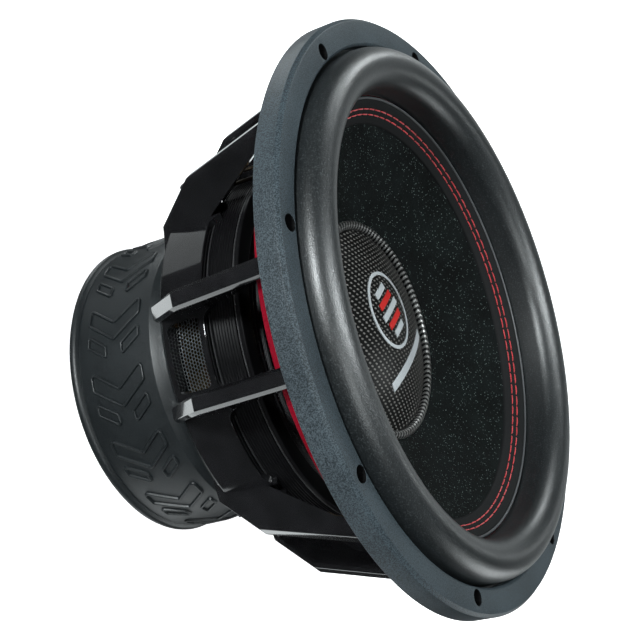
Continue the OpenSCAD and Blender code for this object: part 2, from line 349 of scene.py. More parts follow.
M = {}      # materials by short name; colours are linear, grain is cells to a metre, bump is millimetres
M["trim"] = grained("Trim rubber", (0.0085, 0.0122, 0.0148), (0.043, 0.058, 0.068), 0.48, 1250, 0.14,
                    spec=0.24, share=0.85, span=0.085, detail=2.0)
M["lacquer"] = grained("Black lacquer", (0.0040, 0.0040, 0.0044), (0.007, 0.007, 0.0078), 0.07, 90, 0.012,
                       coat=0.6, detail=0.0)
M["red"] = grained("Crimson lacquer", (0.10, 0.0008, 0.0055), (0.15, 0.0015, 0.0095), 0.42, 500, 0.05,
                   spec=0.03)
M["mesh"] = grained("Dark mesh", (0.09, 0.095, 0.10), (0.19, 0.20, 0.205), 0.28, 900, 0.03, metal=0.9)
M["gloss"] = grained("Black moulding", (0.003, 0.003, 0.0034), (0.006, 0.006, 0.0065), 0.34, 160, 0.05,
                     spec=0.03)
M["boot"] = grained("Boot rubber", (0.0045, 0.0062, 0.0072), (0.0120, 0.0155, 0.0175), 0.44, 1200, 0.12,
                    spec=0.6, share=0.75, span=0.09, detail=2.0)
M["roll"] = grained("Surround skin", (0.0055, 0.0068, 0.0074), (0.0110, 0.0132, 0.0142), 0.36, 1250, 0.20,
                    speckle=0.50, spec=0.70, share=0.7, span=0.10, detail=1.0)
M["band"] = grained("Surround band", (0.0025, 0.0028, 0.0030), (0.0055, 0.0060, 0.0064), 0.68, 900, 0.12,
                    spec=0.15)
# light grey painted highlight for the rounded lip at the band's outer edge
M["piping"] = grained("Band piping", (0.030, 0.032, 0.034), (0.055, 0.058, 0.062), 0.45, 900, 0.06)
# near-black painted shade for the walls of the trim ring's holes
M["lining"] = grained("Hole lining", (0.0015, 0.0015, 0.0016), (0.003, 0.003, 0.0032), 0.70, 900, 0.04,
                      spec=0.08)
M["plate"] = grained("Dark plated steel", (0.05, 0.05, 0.052), (0.10, 0.10, 0.104), 0.36, 400, 0.04,
                     metal=0.9)
M["ferrite"] = grained("Ferrite", (0.03, 0.03, 0.032), (0.06, 0.06, 0.064), 0.55, 500, 0.06)
M["copper"] = grained("Copper", (0.42, 0.17, 0.09), (0.55, 0.24, 0.13), 0.28, 300, 0.04, metal=1.0)
M["bolt"] = grained("Black oxide", (0.02, 0.02, 0.022), (0.05, 0.05, 0.055), 0.34, 600, 0.03, metal=0.7)
M["term"] = grained("Terminal plastic", (0.012, 0.012, 0.013), (0.022, 0.022, 0.024), 0.45, 700, 0.06)
M["steel"] = grained("Plated screw", (0.45, 0.45, 0.46), (0.62, 0.62, 0.64), 0.25, 500, 0.02, metal=1.0)
M["btn_red"] = grained("Red push button", (0.35, 0.01, 0.01), (0.5, 0.02, 0.02), 0.3, 500, 0.03)
M["btn_black"] = grained("Black push button", (0.010, 0.010, 0.011), (0.018, 0.018, 0.02), 0.3, 500, 0.03)
M["emblem"] = grained("Satin emblem", (0.40, 0.43, 0.45), (0.56, 0.59, 0.61), 0.35, 800, 0.02, metal=0.3)
M["emblem_red"] = grained("Emblem red", (0.36, 0.008, 0.006), (0.50, 0.014, 0.010), 0.35, 800, 0.02)


def cone_material():
    """Pressed fibre: near black, matted short fibres and rare tiny sparkles."""
    n = Nodes("Pressed fibre")
    fibre = n.noise(650, 6.0, 0.75, distortion=1.2)
    soft = n.noise(30, 4.0, 0.6)
    blend = n.math("MULTIPLY_ADD", soft, 0.5, n.math("MULTIPLY", fibre, 0.5))
    col = n.ramp(blend, [(0.38, (0.0004, 0.0007, 0.0007)), (0.66, (0.0060, 0.0084, 0.0082))])
    cell = n.add("TexVoronoi", {"Vector": n.coord, "Scale": 800.0, "Randomness": 1.0}, feature="F1")
    near = n.ramp(cell.outputs["Distance"], [(0.14, 1.0), (0.34, 0.0)])
    sep = n.add("SeparateColor", {0: cell.outputs["Color"]})
    rare = n.ramp(sep.outputs[0], [(0.66, 0.0), (0.97, 1.0)])
    spark = n.math("MULTIPLY", near, rare)
    col = n.mix(spark, col, (0.15, 0.19, 0.18))
    return n.set(color=col, rough=n.ramp(blend, [(0.3, 0.62), (0.7, 0.80)]), spec=0.06,
                 normal=n.bump(fibre, 0.8, 0.25 * MM))


def weave_material():
    """Woven carbon: small rounded floats painted light on near black as painted highlights, with fibres along
    them.

    The weave runs straight through the part's X and Y, so it drapes over the dome without a seam.
    """
    n = Nodes("Carbon weave")
    xyz = n.add("SeparateXYZ", {0: n.coord})
    x, y = xyz.outputs[0], xyz.outputs[1]

    def count(per_x, per_y, length):
        """Distance from the middle of a thread's float, for threads per metre along X and Y."""
        turns = n.math("ADD", n.math("MULTIPLY", x, per_x), n.math("MULTIPLY_ADD", y, per_y, 400.0))
        return n.math("MULTIPLY", n.math("SUBTRACT", n.math("FRACT", turns), 0.5), length)

    across, along = count(353.0, -101.0, 3.2), count(-64.0, 226.0, 4.3)
    far = n.math("SQRT", n.math("MULTIPLY_ADD", across, across, n.math("MULTIPLY", along, along)))
    fibre = n.math("SINE", n.math("MULTIPLY_ADD", x, 5200.0, n.math("MULTIPLY", y, 3900.0)))
    # the floats' light colour, brightest at their crowns, is a painted highlight; the near black is the
    # fibre's own colour
    crown_sheen = n.ramp(n.math("MULTIPLY_ADD", fibre, 0.10, far), [(0.55, 1.0), (1.0, 0.35), (1.45, 0.0)])
    patch = n.noise(40, 2.0)
    col = n.mix(n.math("MULTIPLY", crown_sheen, n.math("MULTIPLY_ADD", patch, 0.6, 0.5)), (0.0035, 0.0035, 0.0033),
                (0.185, 0.180, 0.170))
    return n.set(color=col, rough=0.34, spec=0.10, normal=n.bump(crown_sheen, 0.8, 0.30 * MM))


def hatch_material():
    """The same carbon wrapped round the bead: slanting floats painted light all the way round as painted
    highlights.
    """
    n = Nodes("Carbon hatch")
    xyz = n.add("SeparateXYZ", {0: n.coord})
    x, y, z = xyz.outputs
    turn = n.math("ARCTAN2", y, x)
    r = n.math("SQRT", n.math("MULTIPLY_ADD", x, x, n.math("MULTIPLY", y, y)))
    lean = n.math("MULTIPLY", n.math("SUBTRACT", r, z), 900.0)
    bars = n.math("SINE", n.math("MULTIPLY_ADD", turn, 118.0, lean))
    cross = n.math("MULTIPLY", n.math("ADD", r, z), 3600.0)
    notch = n.math("SINE", n.math("MULTIPLY_ADD", turn, 236.0, cross))
    height = n.math("MULTIPLY_ADD", notch, 0.35, bars)
    # the slanting floats' light colour is a painted highlight
    crown_sheen = n.ramp(n.math("MULTIPLY_ADD", height, 0.37, 0.5), [(0.40, 0.0), (0.72, 1.0)])
    col = n.mix(crown_sheen, (0.0035, 0.0035, 0.0033), (0.22, 0.22, 0.215))
    return n.set(color=col, rough=0.30, metal=0.55, spec=0.4, normal=n.bump(crown_sheen, 0.7, 0.25 * MM))


def thread_material():
    """Red polyester thread: lighter and darker plies painted as highlight and shade on the twist, with a soft
    sheen.
    """
    n = Nodes("Red thread")
    wave = n.noise(1800, 2.0, 0.5)
    ply = n.math("SINE", n.math("MULTIPLY", n.noise(300, 0.0), 90.0))
    # the lighter bands are painted highlight on the plies, the darker ones painted shade
    col = n.ramp(n.math("MULTIPLY_ADD", ply, 0.25, wave),
                 [(0.20, (0.26, 0.007, 0.011)), (0.70, (0.58, 0.028, 0.036))])
    return n.set(color=col, rough=0.55, sheen=0.3, sheen_rough=0.4, normal=n.bump(ply, 0.5, 0.12 * MM))


def cloth_material(name, dark, light):
    """Resin-set open weave for the spiders."""
    n = Nodes(name)
    xyz = n.add("SeparateXYZ", {0: n.coord})
    warp = n.math("SINE", n.math("MULTIPLY", xyz.outputs[0], 4200.0))
    weft = n.math("SINE", n.math("MULTIPLY", xyz.outputs[1], 4200.0))
    w = n.math("MULTIPLY", warp, weft)
    col = n.ramp(n.math("MULTIPLY_ADD", w, 0.35, n.noise(90, 3.0)), [(0.2, dark), (0.8, light)])
    return n.set(color=col, rough=0.6, normal=n.bump(w, 0.7, 0.15 * MM))


def wire_material(name, dark, light, pitch):
    """Fine windings or braid that run round the Z axis."""
    n = Nodes(name)
    xyz = n.add("SeparateXYZ", {0: n.coord})
    turns = n.math("SINE", n.math("MULTIPLY", xyz.outputs[2], 2 * math.pi / (pitch * MM)))
    col = n.ramp(n.math("MULTIPLY_ADD", turns, 0.3, n.noise(200, 2.0)), [(0.2, dark), (0.8, light)])
    return n.set(color=col, rough=0.32, metal=0.8, normal=n.bump(turns, 0.8, 0.12 * MM))


M["cone"] = cone_material()
M["weave"] = weave_material()
M["hatch"] = hatch_material()
M["thread"] = thread_material()
M["spider_a"] = cloth_material("Grey spider cloth", (0.010, 0.010, 0.011), (0.024, 0.024, 0.026))
M["spider_b"] = cloth_material("Dark spider cloth", (0.012, 0.012, 0.013), (0.03, 0.03, 0.032))
M["coil"] = wire_material("Coil wire", (0.30, 0.11, 0.04), (0.55, 0.24, 0.10), 0.9)
M["lead"] = wire_material("Braided lead", (0.016, 0.012, 0.008), (0.045, 0.034, 0.022), 0.8)
M["former"] = grained("Former film", (0.30, 0.20, 0.08), (0.42, 0.30, 0.14), 0.30, 300, 0.03)

# ---------------------------------------------------------------- sizes shared with the frame (mm)

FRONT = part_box("trim_ring")[1][2] / MM      # the trim ring's front face
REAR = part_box("trim_ring")[0][2] / MM       # its rear edge, which is the back of the cast flange
FLANGE_TOP = REAR + 6.0
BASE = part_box("top_plate")[1][2] / MM       # the basket's rear pan stands on the motor's top plate
WALL = 127.5                                # radius of the basket's closed wall
WALL_TOP = 128.0
HOLES = [45.0 * k for k in range(8)]        # angles of the mounting screws
SCREW_CIRCLE = 186.5
PAIRS = [60.0 * k for k in range(6)]        # angles of the pairs of arms
VENTS = [60.0, 120.0, 240.0, 300.0]         # angles of the vent windows; the terminals are at the other two
VENT_LOW, VENT_HIGH = BASE + 26.5, BASE + 50.5
VENT_HALF, VENT_CORNER = 22, 3.5


def cone_z(r):
    """Height of the cone's front face."""
    return 215.6 - 0.5125 * (146.0 - r)


# ---------------------------------------------------------------- trim ring

HOLE_R, HOLE_LIP = 5.2, 0.3


def build_trim():
    """The moulded ring round the front, with eight holes whose walls are coloured near black as painted
    shade.
    """
    profile = rounded([
        (194.0, REAR, 0.3), (198.0, REAR, 0.6), (198.0, FRONT - 2.6, 0.9), (195.8, FRONT, 0.9),
        (181.0, FRONT, 0.9), (179.5, FRONT - 1.5, 0.7), (179.5, FLANGE_TOP + 1.8, 0.2),
        (182.8, FLANGE_TOP + 1.8, 0.1), (182.8, FLANGE_TOP, 0.1), (194.0, FLANGE_TOP, 0.2)], 0.3, 5)
    obj = raw("Trim_Ring", lathe_data(profile, 320))
    hole = rounded_hole(HOLE_R, FLANGE_TOP - 1.0, FRONT, HOLE_LIP)
    boolean(obj, raw("holes", join_data([turned(hole, a, (SCREW_CIRCLE, 0, 0)) for a in HOLES])))
    finish_mesh(obj, M["trim"], 32)
    # the faces within each hole take the near-black material: painted shade in the holes
    obj.data.materials.append(M["lining"])
    points = [v.co / MM for v in obj.data.vertices]
    for a in HOLES:
        x, y = SCREW_CIRCLE * math.cos(math.radians(a)), SCREW_CIRCLE * math.sin(math.radians(a))
        in_shaded_hole = [math.hypot(q.x - x, q.y - y) < HOLE_R + 0.1 for q in points]
        for face in obj.data.polygons:
            if all(in_shaded_hole[i] for i in face.vertices):
                face.material_index = 1
    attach(obj, "frame")
    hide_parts("trim_ring")


def rounded_hole(r, z0, z1, lip):
    """A cutter for a round hole whose mouth at z1 flares out."""
    profile = [(0.0, z0), (r, z0), (r, z1 - lip)]
    for j in range(1, 5):
        t = math.pi / 2 * j / 4
        profile.append((r + lip * (1 - math.cos(t)), z1 - lip + lip * math.sin(t)))
    profile += [(r + lip, z1 + 1.0), (0.0, z1 + 1.0)]
    return lathe_data(profile, 40, closed=False)


build_trim()

# ---------------------------------------------------------------- cast frame

# (r, z) along the middle of an arm's outer and inner edges, from the pan up to the flange
ARM_OUT = [(86, 73.5), (125, 91), (150.2, 123.6), (168.5, 193.5), (175.9, REAR + 1.2)]
ARM_IN = [(86, 80.6), (113, 97), (122, 128.3), (152.5, 180), (162.3, REAR + 1.2)]
ARM_HALF = 6.2      # half an arm's width
ARM_OFF = 31.9      # from the middle of a pair to the middle of each arm


def inset(path, d):
    """The path moved to its left by d, with mitred corners."""
    pts = [Vector(p) for p in path]
    out = []
    for i, p in enumerate(pts):
        dirs = []
        if i > 0:
            dirs.append((p - pts[i - 1]).normalized())
        if i < len(pts) - 1:
            dirs.append((pts[i + 1] - p).normalized())
        normals = [Vector((-q.y, q.x)) for q in dirs]
        m = sum(normals, Vector((0, 0))).normalized()
        out.append(p + m * (d / m.dot(normals[0])))
    return out


def arm_data():
    """One arm: stations along the profile, each a section with bevelled outer and softened inner edges."""
    bevel, soft = 2.3, 0.3
    flat = ARM_HALF - bevel
    lines = [(inset(ARM_IN, 0), -ARM_HALF + soft), (inset(ARM_IN, -soft), -ARM_HALF),
             (inset(ARM_OUT, bevel + soft), -ARM_HALF), (inset(ARM_OUT, bevel), -ARM_HALF + 0.12),
             (inset(ARM_OUT, soft * 0.35), -flat - 0.25), (inset(ARM_OUT, 0), -flat + 0.35)]
    rings = []
    for i in range(len(ARM_OUT)):
        side = [(path[i], y) for path, y in lines]
        rings.append([(p.x, y, p.y) for p, y in side] + [(p.x, -y, p.y) for p, y in reversed(side)])
    n = len(rings[0])
    verts = [p for ring in rings for p in ring]
    faces = []
    for i in range(len(rings) - 1):
        for j in range(n):
            faces.append((i * n + j, i * n + (j + 1) % n, (i + 1) * n + (j + 1) % n, (i + 1) * n + j))
    faces.append(tuple(range(n)))
    faces.append(tuple((len(rings) - 1) * n + j for j in reversed(range(n))))
    return verts, faces


def window_outline(grow=0.0):
    """The rounded outline of a vent window in (y, z), made larger all round by grow."""
    y, z0, z1 = VENT_HALF + grow, VENT_LOW - grow, VENT_HIGH + grow
    return rounded([(-y, z0), (y, z0), (y, z1), (-y, z1)], VENT_CORNER + grow, 6)


def gusset_data(pair, y_face, away):
    """The web that rounds the corner between the wall's top edge and one face of an arm."""
    rad, sunk = 7.5, 1.5
    shape = [(-sunk, WALL_TOP - 2), (rad, WALL_TOP - 2), (rad, WALL_TOP)]
    for k in range(1, 9):
        t = math.pi / 2 * k / 8
        shape.append((rad - rad * math.sin(t), WALL_TOP + rad - rad * math.cos(t)))
    shape.append((-sunk, WALL_TOP + rad))
    verts = []
    for r in (WALL - 5.6, WALL):
        for u, z in shape:
            y = y_face + away * u
            verts.append((math.sqrt(r * r - y * y), y, z))
    return turned(prism(verts), pair)


def collar_data(angle):
    """The sleeve round one vent window, deeper than the wall."""
    inner, outer = window_outline(), window_outline(1.3)
    n = len(inner)
    verts = []
    for x in (WALL - 14.0, WALL - 3.2):
        verts += [(x, y, z) for y, z in inner] + [(x, y, z) for y, z in outer]
    faces = []
    for k in range(n):
        k2 = (k + 1) % n
        faces.append((k, k2, 2 * n + k2, 2 * n + k))
        faces.append((n + k2, n + k, 3 * n + k, 3 * n + k2))
        faces.append((k2, k, n + k, n + k2))
        faces.append((2 * n + k, 2 * n + k2, 3 * n + k2, 3 * n + k))
    return turned((verts, faces), angle)


def build_frame():
    """The cast basket in one mesh: pan and wall, vent windows, arms, webs, collars and the drilled flange."""
    pan = rounded([
        (58, BASE, 0.4), (86, BASE, 0.8), (WALL - 4, BASE + 19.2, 1.6), (WALL, BASE + 23.2, 1.6),
        (WALL, WALL_TOP, 0.9), (100, WALL_TOP, 0.7), (100, WALL_TOP - 4, 0.7), (WALL - 6, WALL_TOP - 4, 0.8),
        (WALL - 6, BASE + 25, 2.0), (84, BASE + 7, 2.0), (58, BASE + 7, 0.6)], 0.5, 6)
    flange = rounded([
        (155.6, REAR + 0.5, 0.6), (181.5, REAR + 0.5, 0.1), (181.5, REAR, 0.3), (193.7, REAR, 0.8),
        (193.7, FLANGE_TOP, 0.5), (155.6, FLANGE_TOP, 0.5)], 0.5, 6)
    obj = raw("Cast_Frame", lathe_data(pan, 288))
    window = prism_x(window_outline(), WALL - 12, WALL + 6)
    boolean(obj, raw("windows", join_data([turned(window, a) for a in VENTS])))
    top = raw("flange", lathe_data(flange, 288))
    hole = cylinder_data(3.25, REAR - 1, FLANGE_TOP + 1, 32)
    boolean(top, raw("holes", join_data([turned(hole, a, (SCREW_CIRCLE, 0, 0)) for a in HOLES])))
    arms, webs = [], []
    for a in PAIRS:
        for s in (-1, 1):
            arms.append(turned(arm_data(), a, (0, s * ARM_OFF, 0)))
            webs.append(gusset_data(a, s * (ARM_OFF + ARM_HALF), s))
            webs.append(gusset_data(a, s * (ARM_OFF - ARM_HALF), -s))
    boolean(obj, raw("arms", join_data(arms)), "UNION")
    boolean(obj, raw("webs", join_data(webs)), "UNION")
    boolean(obj, raw("collars", join_data([collar_data(a) for a in VENTS])), "UNION")
    boolean(obj, top, "UNION")
    finish_mesh(obj, M["lacquer"], 20)
    weighted = obj.modifiers.new("normals", "WEIGHTED_NORMAL")
    weighted.keep_sharp = True
    weighted.weight = 60
    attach(obj, "frame")
    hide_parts("basket")


build_frame()

lathe("Crimson_Ring",
      rounded([(152.5, 186, 0.6), (155.5, 186, 0.6), (155.5, 219, 0.4), (152.5, 219, 0.4)], 0.5, 4),
      M["red"], "frame", "seat_ring")

# ---------------------------------------------------------------- vent mesh

def hex_sheet(width, height, pitch, hole):
    """A flat sheet of hexagonal cells, each with a hexagonal hole; points are (s, t)."""
    verts, faces, index = [], [], {}

    def point(x, y):
        key = (round(x, 4), round(y, 4))
        if key not in index:
            index[key] = len(verts)
            verts.append((x, y))
        return index[key]

    def hexagon(cx, cy, r):
        turn = [k * math.pi / 3 for k in range(6)]
        return [point(cx + r * math.sin(t), cy + r * math.cos(t)) for t in turn]

    dx, dy = pitch, pitch * math.sqrt(3) / 2
    rows = int(height / dy / 2)
    cols = int(width / dx / 2)
    big = pitch / math.sqrt(3)
    for j in range(-rows, rows + 1):
        for i in range(-cols, cols + 1):
            cx, cy = i * dx + (dx / 2 if j % 2 else 0), j * dy
            if abs(cx) > width / 2 - big or abs(cy) > height / 2 - big:
                continue
            outer, inner = hexagon(cx, cy, big), hexagon(cx, cy, hole)
            for k in range(6):
                faces.append((outer[k], outer[(k + 1) % 6], inner[(k + 1) % 6], inner[k]))
    return verts, faces


def build_vents():
    """A curved mesh behind each vent window, at the back of its collar."""
    flat, faces = hex_sheet(48.5, 27.5, 2.4, 1.13)
    z_mid = BASE + 38.0
    radius = WALL - 10.0
    parts = []
    for a in VENTS:
        verts = []
        for s, t in flat:
            ang = math.radians(a) + s / radius
            verts.append((radius * math.cos(ang), radius * math.sin(ang), z_mid + t))
        parts.append((verts, faces))
    obj = piece("Vent_Mesh", join_data(parts), M["mesh"], None, smooth=30)
    solid = obj.modifiers.new("thickness", "SOLIDIFY")
    solid.thickness = 0.4 * MM
    solid.offset = 0
    apply_modifiers(obj)
    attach(obj, "frame")
    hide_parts("vent_mesh")


build_vents()

# ---------------------------------------------------------------- spider stack

def ribbed_ring(r_in, r_out, z0, z1, pitch, depth):
    """A ring whose outer wall has fine turned grooves."""
    prof = [(r_in, z0), (r_out - 0.6, z0)]
    count = max(1, int(round((z1 - z0 - 1.2) / pitch)))
    for k in range(count * 4 + 1):
        z = z0 + 0.6 + (z1 - z0 - 1.2) * k / (count * 4)
        prof.append((r_out - depth * 0.5 * (1 + math.cos(2 * math.pi * k / 4)), z))
    prof += [(r_out - 0.6, z1), (r_in, z1)]
    return prof


lathe("Spider_Spacer", ribbed_ring(117.0, 124.0, 130.4, 147.6, 2.1, 0.45), M["gloss"], "frame",
      "spider_spacer")
lathe("Spider_Clamp",
      rounded([(112, 150.0, 0.4), (124, 150.0, 0.4), (124, 153.0, 1.0), (112, 153.0, 1.0)], 0.5, 4),
      M["gloss"], "frame", "spider_clamp")

SPIDER_IN, SPIDER_OUT = 55.0, 112.0     # the waves lie between these radii, which is the part that bends


def spider_profile(z, waves=7, amp=2.0, thick=0.9):
    """Neck, smooth waves and a flat foot, as a closed section; z is the height of its seat."""
    mid = z + 1.2
    steps = waves * 12
    pts = [(49.95, mid)]
    for k in range(steps + 1):
        r = SPIDER_IN + (SPIDER_OUT - SPIDER_IN) * k / steps
        fade = min(1.0, k / 8.0, (steps - k) / 8.0)
        pts.append((r, mid + amp * fade * math.sin(2 * math.pi * k / 12)))
    pts += [(114.0, mid), (123.3, mid)]
    top = [(r, h + thick / 2) for r, h in pts]
    low = [(r, h - thick / 2) for r, h in reversed(pts)]
    return top + low


def spread_blend(obj, a, b, outer_r, inner_r, z):
    """Blends obj between two bodies, then sets the share by radius, because the skin bends all round."""
    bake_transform(obj, a, b, start=(outer_r * MM, 0, z * MM), end=(inner_r * MM, 0, z * MM))
    layer = obj.data.attributes.get("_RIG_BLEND")
    if layer is None:
        raise RuntimeError("no blend weights on " + obj.name)
    for i, v in enumerate(obj.data.vertices):
        r = math.hypot(v.co.x, v.co.y) / MM
        t = max(0.0, min(1.0, (outer_r - r) / (outer_r - inner_r)))
        layer.data[i].value = t * t * (3 - 2 * t)


SPIDERS = []
for label, node, z, mat in (("Spider_Rear", "spider_rear", 128.0, "spider_a"),
                            ("Spider_Front", "spider_front", 147.6, "spider_b")):
    SPIDERS.append(lathe(label, spider_profile(z), M[mat], None, None, segs=192, smooth=60))
    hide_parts(node)

# ---------------------------------------------------------------- boot

BOOT_R = 101.2
BOOT_SHAPES = 14    # repeats of the raised pattern round the boot
CHEVRON = [(-17, 17), (-5, 17), (9, 37.5), (-5, 58), (-17, 58), (-3, 37.5)]
LOW_BAR = [(8, 17), (15.5, 17), (25, 31), (17.5, 31)]
HIGH_BAR = [(17.5, 44), (25, 44), (15.5, 58), (8, 58)]
BAR_TURN = 0.045    # radians that the bars sit back towards their chevron


def boot_emboss():
    """Raised outlines round the boot's side: a chevron with a slanting bar above and below its point."""
    parts = []
    for k in range(BOOT_SHAPES):
        a0 = 2 * math.pi * (k + 0.5) / BOOT_SHAPES
        parts.append(emboss_loop(CHEVRON, a0, 2.6, 2.0))
        parts.append(emboss_loop(LOW_BAR, a0 - BAR_TURN, 2.3, 1.2))
        parts.append(emboss_loop(HIGH_BAR, a0 - BAR_TURN, 2.3, 1.2))
    return join_data(parts)


def emboss_loop(shape, a0, width, corner, height=1.7):
    """A closed raised ridge that follows a rounded outline of (arc length, z) on the boot's side."""
    radius = BOOT_R - 0.15      # its foot is sunk in the rubber
    path = rounded([(s, z, corner) for s, z in shape], corner, 4)
    dense = []
    n = len(path)
    for i in range(n):
        p, q = Vector(path[i]), Vector(path[(i + 1) % n])
        k = max(1, int((q - p).length / 4.0))
        dense += [p.lerp(q, j / k) for j in range(k)]
    n = len(dense)
    verts, faces = [], []
    section = [(-0.5, -0.25), (-0.28, 0.85), (-0.12, 1.0), (0.12, 1.0), (0.28, 0.85), (0.5, -0.25)]
    for i in range(n):
        d = (dense[(i + 1) % n] - dense[i - 1]).normalized()
        side = Vector((-d.y, d.x))
        for u, h in section:
            q = dense[i] + side * (u * width)
            a = a0 + q.x / radius
            r = radius + h * height
            verts.append((r * math.cos(a), r * math.sin(a), q.y))
    m = len(section)
    for i in range(n):
        i2 = (i + 1) % n
        for j in range(m):
            faces.append((i * m + j, i * m + (j + 1) % m, i2 * m + (j + 1) % m, i2 * m + j))
    return verts, faces


def build_boot():
    """The rubber sleeve: rear face, rear bead, side with raised shapes and front bevel."""
    bead = [(100.3 + 3.5 * math.sin(t), 3.5 - 3.5 * math.cos(t)) for t in
            [math.pi * k / 10 for k in range(0, 9)]]
    outer = [(18.0, 0.0), (19.0, 0.0)] + bead + [(100.6, 7.3), (100.9, 8.2), (BOOT_R, 9.4)]
    outer += rounded([(BOOT_R, 9.4, 0), (BOOT_R, 66.8, 1.6), (96.0, 74.0, 0.8), (95.2, 74.0, 0.3),
                      (95.2, 60.0, 0)], 0, 5)[1:]
    body = lathe_data(outer + [(95.2, 3.0), (18.0, 3.0)], 288)
    piece("Magnet_Boot", join_data([body, boot_emboss()]), M["boot"], "frame", "magnet_boot", 40)


build_boot()

# ---------------------------------------------------------------- surround roll

def roll_profile():
    """Section of the surround: outer foot, tall half roll and the skirt that meets the band."""
    c_r, c_z, rad, thick = 163.5, 231.8, 13.7, 2.2
    outer = [(182.4, FLANGE_TOP + 0.1), (182.4, FLANGE_TOP + 1.7), (178.6, FLANGE_TOP + 1.7)]
    for k in range(1, 5):
        t = math.pi / 2 * k / 4
        outer.append((178.6 - 1.4 * math.sin(t), FLANGE_TOP + 3.1 - 1.4 * math.cos(t)))
    for k in range(0, 41):
        t = math.pi * k / 40
        outer.append((c_r + rad * math.cos(t), c_z + rad * math.sin(t)))
    outer += [(149.8, 226.0), (149.8, 221.5), (149.9, 219.6), (150.1, 218.2), (150.5, 217.2),
              (151.2, 216.9)]
    inner = [(151.9, 217.4), (152.0, 219.5), (152.0, 226.0)]
    for k in range(0, 31):
        t = math.pi * (1 - k / 30)
        inner.append((c_r + (rad - thick) * math.cos(t), c_z + (rad - thick) * math.sin(t)))
    inner += [(175.0, 224.0), (175.0, FLANGE_TOP + 0.1)]
    return outer + inner


ROLL = lathe("Surround_Roll", roll_profile(), M["roll"], None, None, segs=320, smooth=60)
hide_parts("surround_roll")

STITCHES = 102          # in each row
ROWS = (138.1, 141.2)   # radii of the two rows
BAND_SLOPE = 0.6437


def band_top(r):
    """Height of the flat band inside the roll."""
    return 210.8 + (r - 133.8) * BAND_SLOPE


def build_band():
    """The band, drawn down along its rows of stitches, and the thin lip at its outer edge, coloured light
    grey as a painted highlight.
    """
    pts = [(149.35, 216.9), (149.4, 217.9), (148.6, 218.3), (147.2, 218.6), (146.3, band_top(146.3) - 0.05)]
    rs = [145.4, 144.2, 143.0, 142.2, 141.7, 141.2, 140.7, 140.2, 139.6, 139.1, 138.6, 138.1, 137.6,
          137.1, 136.2, 135.2, 134.2]
    pts += [(r, band_top(r)) for r in rs]
    pts += [(133.6, 210.6), (133.1, 210.2), (132.9, 209.7), (132.8, cone_z(132.8) + 0.05)]
    pts += [(140.0, cone_z(140.0) + 0.05), (145.9, 215.6), (148.0, 216.2)]

    def pucker(r, z, t, j):
        if not (3 < j < len(pts) - 4):
            return r, z
        drop = 0.0
        for row in ROWS:
            near = math.exp(-((r - row) / 0.75) ** 2)
            phase = (t * STITCHES / (2 * math.pi)) % 1.0
            d = min(phase, 1 - phase) * 2 * math.pi * row / STITCHES    # from the nearest needle hole
            drop += near * (0.16 + 0.42 * math.exp(-(d / 0.9) ** 2))
        return r, z - drop

    lathe("Surround_Band", pts, M["band"], "moving_assembly", "surround_band", segs=STITCHES * 6,
          wobble=pucker, smooth=50)
    # the lip ring's light grey colour is a painted highlight on its rounded top
    turn = [2 * math.pi * k / 12 for k in range(12)]
    lathe("Band_Lip", [(147.7 + 0.85 * math.cos(t), 218.75 + 0.85 * math.sin(t)) for t in turn],
          M["piping"], "moving_assembly", segs=320, smooth=60)


build_band()


def build_stitches():
    """Two rows of separate stitches, each a little uneven, whose ends dip into the band."""
    parts = []
    slope = math.atan(BAND_SLOPE)
    up_r, up_z = -math.sin(slope), math.cos(slope)
    pitch = 2 * math.pi / STITCHES
    length = pitch * 0.96
    radii = [0.30, 0.37, 0.41, 0.43, 0.44, 0.43, 0.41, 0.37, 0.30]
    for row in ROWS:
        for k in range(STITCHES):
            mid = (k + 0.5) * pitch + random.uniform(-0.0012, 0.0012)
            path, norms = [], []
            lift0 = random.uniform(-0.04, 0.06)
            skew = random.uniform(-0.10, 0.10)
            for j in range(len(radii)):
                u = j / 8 - 0.5
                ang = mid + u * length
                lift = 0.10 + lift0 - 0.95 * abs(2 * u) ** 4
                r = row + skew * u + up_r * lift
                z = band_top(row) + up_z * lift
                path.append(Vector((r * math.cos(ang), r * math.sin(ang), z)))
                norms.append(Vector((up_r * math.cos(ang), up_r * math.sin(ang), up_z)))
            parts.append(tube(path, radii, norms))
    piece("Red_Stitching", join_data(parts), M["thread"], "moving_assembly", "stitching", 60)


build_stitches()

# ---------------------------------------------------------------- cone, cap, emblem

NECK, RIM = 49.95, 145.9
CONE = [(r, cone_z(r)) for r in (NECK, 60, 80, 100, 120, 135, RIM)]
CONE += [(RIM, cone_z(RIM) - 3.1)] + [(r, cone_z(r) - 3.2) for r in (135, 120, 100, 80, 60)]
CONE += [(56, cone_z(56) - 3.4), (55, cone_z(56) - 7), (NECK, cone_z(56) - 7)]
lathe("Cone", CONE, M["cone"], "moving_assembly", "cone", smooth=30)

CAP_R, CAP_RIM, CAP_H = 69.1, 177.8, 12.5       # the dome's radius, the height of its rim and its rise
DOME = (CAP_R ** 2 + CAP_H ** 2) / (2 * CAP_H)  # radius of the sphere that it is part of


def dome_z(r):
    """Height of the cap's outer face."""
    return CAP_RIM + CAP_H - DOME + math.sqrt(DOME ** 2 - r * r)


